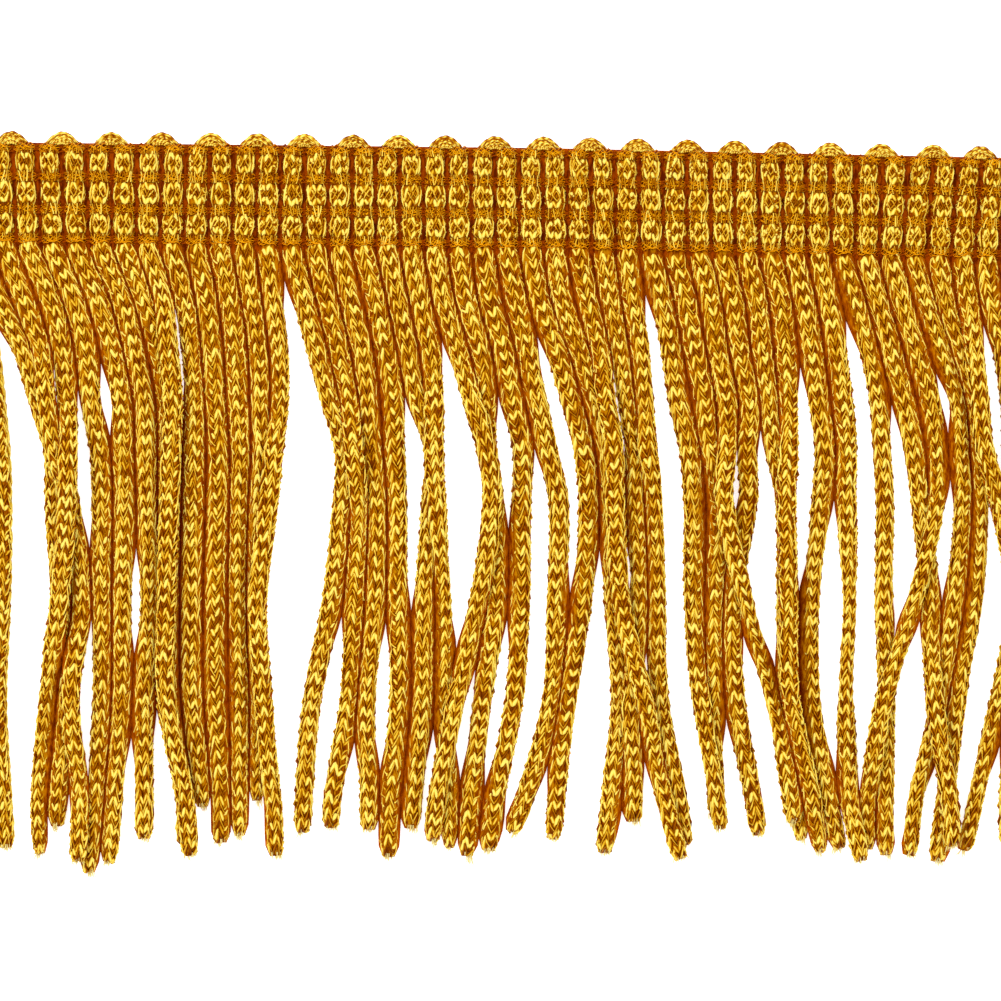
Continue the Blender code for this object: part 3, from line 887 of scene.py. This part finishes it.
def loop_lines(x, share, waves):
    """Yarns of one loop, nested bells between its two feet, how thick they are and their painted
    light.

    A share of 1 is the outermost yarn, and 0 the innermost.
    """
    count = len(share)
    stations = np.linspace(0, 1, LOOP_STATIONS)
    first = random.uniform(-1.0, -LOOP_FOOT_REACH, count)[:, None]
    last = random.uniform(LOOP_FOOT_REACH, 1.0, count)[:, None]
    across = first + (last - first) * stations
    foot = LOOP_FOOT * at_least(LOOP_INNER_FOOT, share)
    height = LOOP_HEIGHT * at_least(LOOP_INNER_HEIGHT, share)
    bell = np.cos(math.pi / 2 * across).clip(0) ** LOOP_BLUNTNESS
    inward = np.sqrt(1 - np.clip(share, 0, LOOP_OUTERMOST))
    z = LOOP_LOW + (LOOP_HIGH - LOOP_LOW) * inward
    phase = random.uniform(0, math.tau, (count, 1))
    waves = waves * random.uniform(*LOOP_WAVE_RANGE, (count, 1))
    turns = phase + waves * math.tau * stations
    y = LOOP_START + height[:, None] * bell + LOOP_WAVE * np.sin(turns)
    points = np.stack([
        MIDDLE_X + x + foot[:, None] * across,
        MIDDLE_Y + BINDING_ROWS[-1] + bow_at(x) + y,
        z[:, None] * np.ones(LOOP_STATIONS),
    ], axis=-1)
    swell = at_least(LOOP_END_SWELL, np.sin(math.pi * stations) ** LOOP_END_BLUNTNESS)
    bright = LOOP_BRIGHT + LOOP_BRIGHT_SWAY * np.cos(turns + LOOP_BRIGHT_AHEAD)
    return points, swell, bright[..., None]


def build_loops(materials):
    """The turns of the cord above each pair of its runs, low bells of separate yarns."""
    yarns = Yarns()
    share = np.linspace(1.0, 0.0, LOOP_YARNS)
    for number in range(0, CORD_COUNT, CORDS_PER_LOOP):
        roots = [root_of(n) for n in range(number, number + CORDS_PER_LOOP)]
        x = np.mean([root + lean_at(root) for root in roots]) + swing(LOOP_SHIFT) * MM

        points, swell, bright = loop_lines(x, share, LOOP_WAVES)
        radii = random.uniform(*LOOP_RADII, (LOOP_YARNS, 1)) * MM * swell
        shade = new_shades(LOOP_YARNS)
        least = LOOP_LEAST * at_least(LOOP_INNER_LEAST, share[:, None, None])
        yarns.add_lines(points, UP, radii, FACE_SIDES, bright, shade, least=least)

        back, swell, bright = loop_lines(x, share[::2], LOOP_WAVES)
        # The back yarns turn their painted highlight to the floor, so from above they show
        # painted shade
        back[..., 2] = 2 * LOOP_LOW - back[..., 2] + LOOP_BACK_RISE
        radii = LOOP_BACK_RADIUS * swell
        shade = new_shades(len(back))
        yarns.add_lines(back, -UP, radii, THIN_SIDES, bright, shade, least=LOOP_BACK_LEAST)

        # The inside yarns take the core's dark colour, partly painted shade
        inside, swell, _ = loop_lines(x, LOOP_INSIDE_SHARES, 0.0)
        inside[..., 2] = LOOP_INSIDE_HEIGHT
        radii = LOOP_INSIDE_RADIUS * swell
        yarns.add_lines(inside, UP, radii, LOOP_INSIDE_SIDES, 1.0, 0.0, CORE)
    yarns.make("heading_loops", materials, "cord", "heading")


def build_shade_bar(materials):
    """A dark closed bar under the heading, painted shade that shows between its cords."""
    top = BINDING_ROWS[-1] + NOTCH_RISE
    corner = GROUND_ROUNDING
    section = (
        (GROUND_FOOT, GROUND_LOW + corner), (GROUND_FOOT, GROUND_HIGH - corner),
        (GROUND_FOOT + corner, GROUND_HIGH), (top - corner, GROUND_HIGH),
        (top, GROUND_HIGH - corner), (top, GROUND_LOW + corner),
        (top - corner, GROUND_LOW), (GROUND_FOOT + corner, GROUND_LOW),
    )
    rings = np.array([
        [(MIDDLE_X + x, MIDDLE_Y + bow_at(x) + y, z) for y, z in section]
        for x in np.linspace(-HEADING_HALF, HEADING_HALF, GROUND_STATIONS)
    ])
    yarns = Yarns()
    yarns.add(closed(rings), painted_light=0.0, shade=0.0, kind=0)
    yarns.make("heading_shade_bar", materials, "cord", "heading")


def thread_lines(row, thread_count, points_per_cord, side):
    """Waving threads of one binding row, on the face or the back, and their painted light."""
    x = np.linspace(-HEADING_HALF, HEADING_HALF, CORD_COUNT * points_per_cord + 1)
    phase = math.tau * (x + HEADING_HALF) / CORD_PITCH
    over = 0.5 - 0.5 * np.cos(phase)
    rise = THREAD_LOW + (THREAD_HIGH - THREAD_LOW) * over**THREAD_BLUNTNESS
    z = HEADING_CENTRE_HEIGHT + side * rise
    knots = np.linspace(x[0], x[-1], THREAD_KNOTS * CORD_COUNT)
    y = BINDING_ROWS[row]
    lines = []
    for thread in range(thread_count):
        offset = (thread / (thread_count - 1) - 0.5) * THREAD_SPREAD
        jitter = np.interp(x, knots, random.normal(0, THREAD_JITTER, len(knots))) * MM
        wave = THREAD_WAVE * sum(
            np.sin(waves * phase + thread * shift) for waves, shift in THREAD_WAVES
        )
        lines.append(np.stack([
            MIDDLE_X + x + lean_at(x) * y / BINDING_ROWS[-1],
            MIDDLE_Y + y + bow_at(x) + offset + wave + jitter,
            z,
        ], axis=1))
    # Painted shade where the threads dip between the cords
    painted_light = THREAD_CREST + THREAD_CREST_RISE * np.sqrt(over)
    return np.array(lines), painted_light[None, :, None]


def build_bindings(materials):
    """Rows of fine thread that wave over the pinched cords and dip between them."""
    for row in range(len(BINDING_ROWS)):
        yarns = Yarns()
        for side, thread_count, points_per_cord in THREAD_LAYERS:
            points, painted_light = thread_lines(row, thread_count, points_per_cord, side)
            shade = new_shades(thread_count)
            yarns.add_lines(points, side * UP, THREAD_RADIUS, THIN_SIDES, painted_light, shade)
        yarns.make(f"binding_thread_{row + 1}", materials, "binding", f"binding_{row + 1}")


def new_material(name):
    """A material, its nodes and links, and its shader."""
    material = bpy.data.materials.new(name)
    material.use_nodes = True
    nodes = material.node_tree.nodes
    return material, nodes, material.node_tree.links, nodes["Principled BSDF"]


def set_inputs(node, values):
    """Give inputs of a node their values."""
    for name, value in values.items():
        node.inputs[name].default_value = value


def ramp(nodes, stops):
    """A colour ramp through the stops."""
    node = nodes.new("ShaderNodeValToRGB")
    while len(node.color_ramp.elements) < len(stops):
        node.color_ramp.elements.new(0.5)
    for element, (place, colour) in zip(node.color_ramp.elements, stops):
        element.position = place
        element.color = (*colour, 1.0)
    return node


def math_node(nodes, links, operation, first, second):
    """The result of a sum or product of two sockets, or of a socket and a number."""
    node = nodes.new("ShaderNodeMath")
    node.operation = operation
    for socket, value in zip(node.inputs, (first, second)):
        if isinstance(value, float):
            socket.default_value = value
        else:
            links.new(value, socket)
    return node.outputs[0]


def noise_node(nodes, links, scales):
    """Noise drawn out along the cords, by different scales across and along them."""
    place = nodes.new("ShaderNodeTexCoord")
    stretch = nodes.new("ShaderNodeMapping")
    set_inputs(stretch, {"Scale": scales})
    noise = nodes.new("ShaderNodeTexNoise")
    set_inputs(noise, {"Scale": 1.0, "Detail": GRAIN_DETAIL})
    links.new(place.outputs["Object"], stretch.inputs["Vector"])
    links.new(stretch.outputs["Vector"], noise.inputs["Vector"])
    return noise.outputs["Fac"]


def attribute_node(nodes, name):
    """The value that a mesh carries at each of its points."""
    node = nodes.new("ShaderNodeAttribute")
    node.attribute_name = name
    return node.outputs["Fac"]


def yarn_material(name, stops, roughness):
    """Silky yarn: painted highlight on its crest, painted shade towards its flanks and ends."""
    material, nodes, links, shader = new_material(name)
    painted_light = attribute_node(nodes, "painted_light")
    shade = attribute_node(nodes, "shade")
    noise = noise_node(nodes, links, YARN_GRAIN)
    varied = math_node(nodes, links, "MULTIPLY", shade, SHADE_SPAN)
    mottled = math_node(nodes, links, "MULTIPLY", noise, SHADE_SPAN)
    total = math_node(nodes, links, "ADD", varied, mottled)
    total = math_node(nodes, links, "ADD", total, -SHADE_SPAN)
    total = math_node(nodes, links, "ADD", total, painted_light)
    colours = ramp(nodes, stops)
    links.new(total, colours.inputs["Fac"])
    links.new(colours.outputs["Color"], shader.inputs["Base Color"])
    fibre = nodes.new("ShaderNodeBump")
    set_inputs(fibre, {"Strength": FIBRE_STRENGTH, "Distance": FIBRE_DEPTH})
    links.new(noise, fibre.inputs["Height"])
    links.new(fibre.outputs["Normal"], shader.inputs["Normal"])
    set_inputs(shader, {
        "Roughness": roughness,
        "Specular IOR Level": YARN_SPECULAR,
        "Specular Tint": YARN_GLOSS,
    })
    return material


def recess_material(name, flank_stops, face_stops):
    """The inside of the knitting, dark partly with painted shade: reddish brown painted shade
    at the flanks, streaked with ochre on top.
    """
    material, nodes, links, shader = new_material(name)
    noise = noise_node(nodes, links, RECESS_GRAIN)
    blend = nodes.new("ShaderNodeMix")
    blend.data_type = "RGBA"
    links.new(attribute_node(nodes, "painted_light"), blend.inputs["Factor"])
    for place, stops in (("A", flank_stops), ("B", face_stops)):
        colours = ramp(nodes, stops)
        links.new(noise, colours.inputs["Fac"])
        socket = next(one for one in blend.inputs if one.name == place and one.type == "RGBA")
        links.new(colours.outputs["Color"], socket)
    mixed = next(one for one in blend.outputs if one.type == "RGBA")
    links.new(mixed, shader.inputs["Base Color"])
    set_inputs(shader, {"Roughness": DULL, "Specular IOR Level": 0.0})
    return material


def build_stage():
    """The pale floor, the white surroundings and one large soft lamp."""
    bpy.ops.mesh.primitive_plane_add(size=FLOOR_SIZE)
    floor = bpy.context.object
    floor.name = "floor"
    material, _, _, shader = new_material("floor_white")
    set_inputs(shader, {
        "Base Color": FLOOR_COLOUR,
        "Roughness": DULL,
        "Emission Color": WHITE,
        "Emission Strength": FLOOR_GLOW,
    })
    floor.data.materials.append(material)
    world = bpy.data.worlds.new("studio")
    bpy.context.scene.world = world
    world.use_nodes = True
    set_inputs(world.node_tree.nodes["Background"], {"Color": WHITE, "Strength": WORLD_STRENGTH})
    key = bpy.data.lights.new("key", "AREA")
    key.energy = KEY_POWER
    key.size = KEY_SIZE
    lamp = bpy.data.objects.new("key", key)
    lamp.location = KEY_PLACE
    lamp.rotation_euler = lamp.location.to_track_quat("Z", "Y").to_euler()
    bpy.context.scene.collection.objects.link(lamp)


def build_camera():
    """The photograph's view, straight down on the fringe."""
    across = (PHOTO_PIXELS / 2 - MIDDLE_IN_PHOTO[0]) * PIXEL
    down = (PHOTO_PIXELS / 2 - MIDDLE_IN_PHOTO[1]) * PIXEL
    roll = math.atan(PHOTO_ROLL)
    camera = bpy.data.cameras.new("camera")
    camera.lens = LENS
    camera.sensor_width = SENSOR
    camera.clip_start = NEAREST
    eye = bpy.data.objects.new("camera", camera)
    eye.location = (
        MIDDLE_X + across * math.cos(roll) + down * math.sin(roll),
        MIDDLE_Y + across * math.sin(roll) - down * math.cos(roll),
        PHOTO_PIXELS * PIXEL * LENS / SENSOR + CORD_HALF_HEIGHT,
    )
    eye.rotation_euler = (0.0, 0.0, roll)
    bpy.context.scene.collection.objects.link(eye)
    bpy.context.scene.camera = eye


def main():
    """Build every piece, the stage and the camera."""
    bpy.context.scene.view_settings.view_transform = "Standard"
    materials = [
        yarn_material("cord_yarn", CORD_STOPS, CORD_ROUGHNESS),
        recess_material("cord_core", FLANK_STOPS, RECESS_STOPS),
        yarn_material("cut_fibres", TUFT_STOPS, TUFT_ROUGHNESS),
    ]
    build_cords(materials)
    build_heading(materials)
    build_loops(materials)
    build_shade_bar([recess_material("heading_shade_bar", GROUND_SHADE_STOPS, GROUND_SHADE_STOPS)])
    build_bindings([yarn_material("binding_thread", THREAD_STOPS, THREAD_ROUGHNESS)])
    build_stage()
    build_camera()


main()
